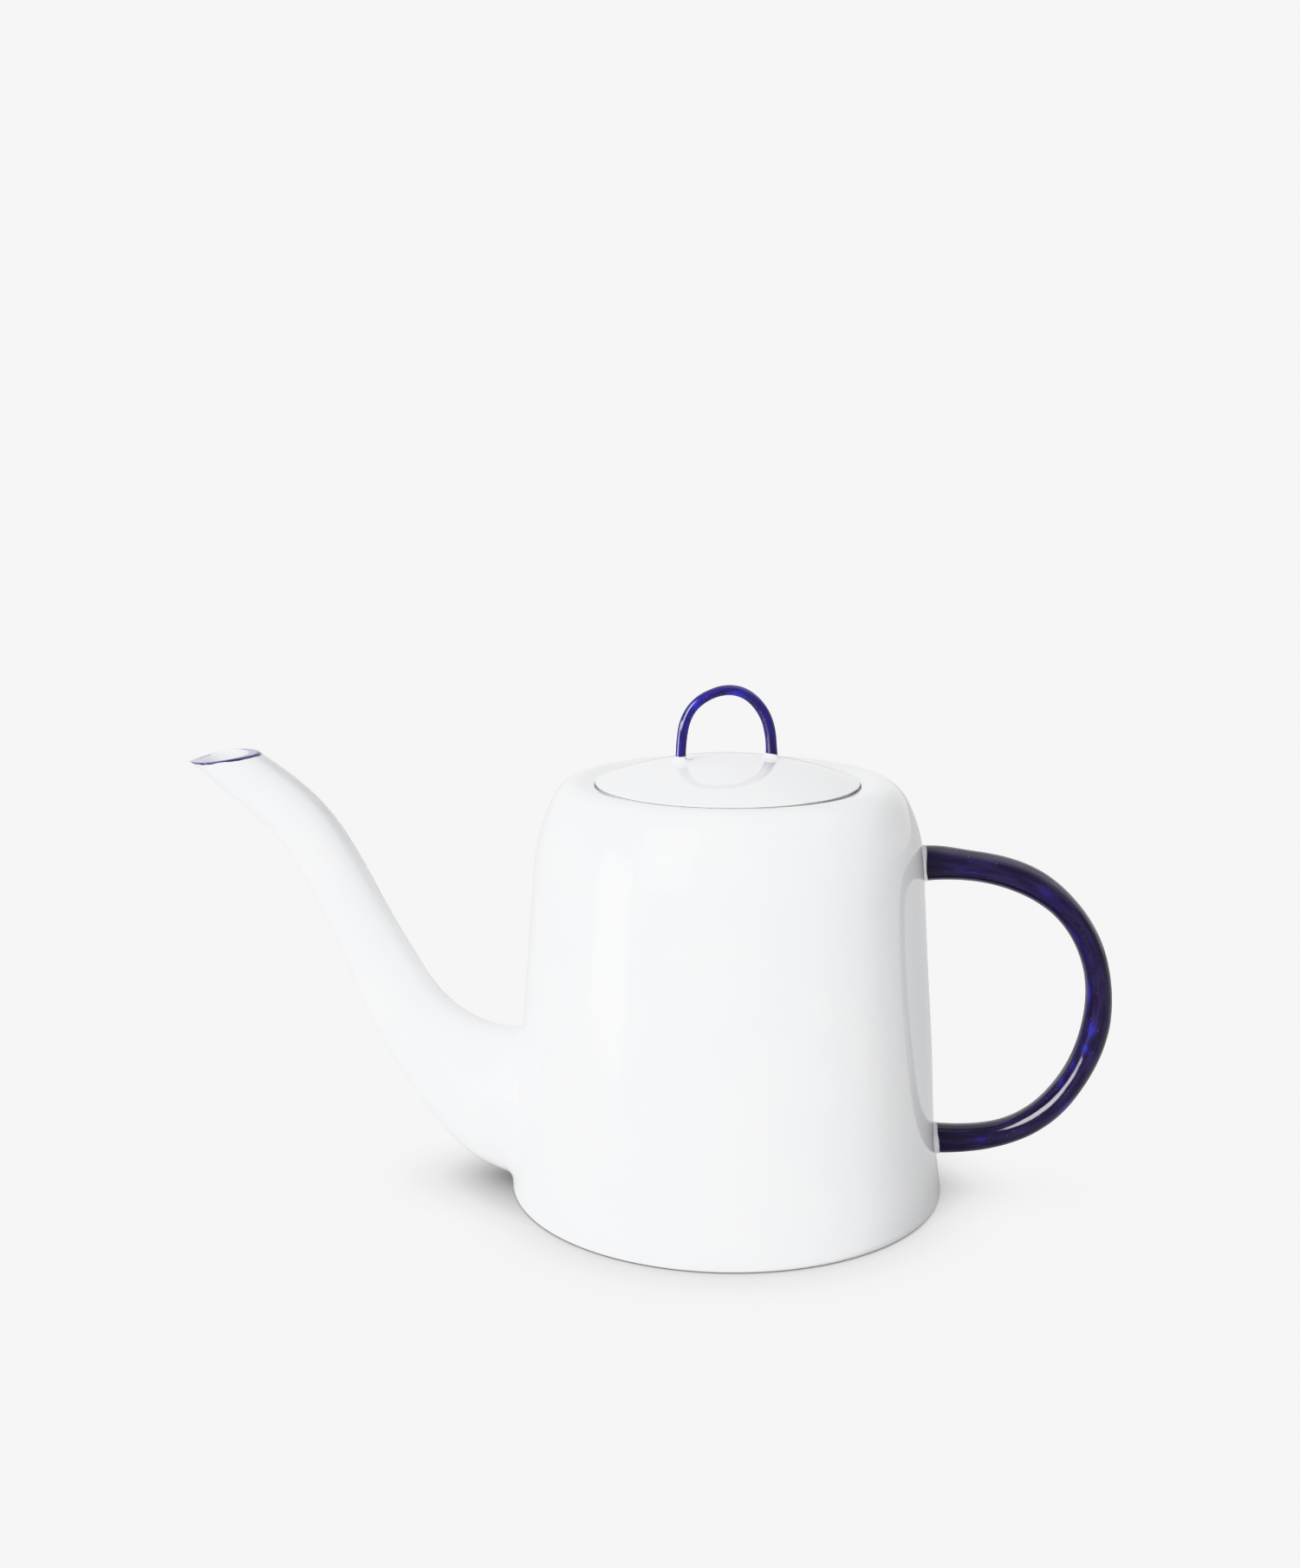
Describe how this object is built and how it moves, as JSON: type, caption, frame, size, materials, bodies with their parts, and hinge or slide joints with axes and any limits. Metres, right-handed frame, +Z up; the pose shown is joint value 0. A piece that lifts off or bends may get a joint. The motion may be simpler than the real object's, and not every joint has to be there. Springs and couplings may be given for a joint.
{
  "type": "teapot",
  "caption": "Tall white porcelain teapot with a long S-curved pouring spout, a round cobalt handle and a lift-off domed lid with a cobalt loop.",
  "frame": {"origin": "centre of the foot ring on the surface the teapot stands on, on the pot's axis", "axes": "+Z up along the pot's axis, +X towards the handle, -X towards the spout, Y across them"},
  "size_m": [0.2643, 0.1246, 0.1466],
  "materials": {
    "white_porcelain": "clear gloss glaze over hand-formed white porcelain",
    "cobalt_glaze": "thick dark cobalt glaze with lengthwise brush streaks, glossy",
    "white_slip": "white luting slip under clear glaze"
  },
  "bodies": {
    "pot": {"pot_body": "white_porcelain", "spout": "white_porcelain", "handle": "cobalt_glaze", "handle_upper_luting": "white_slip", "handle_lower_luting": "white_slip"},
    "lid": {"lid": "white_porcelain", "lid_loop": "cobalt_glaze", "loop_luting_spout_side": "white_slip", "loop_luting_handle_side": "white_slip"}
  },
  "joints": [
    {"name": "lid_lift", "type": "slide", "parent": "pot", "child": "lid", "axis": [0, 0, 1], "range_m": [0, 0.06]}
  ]
}
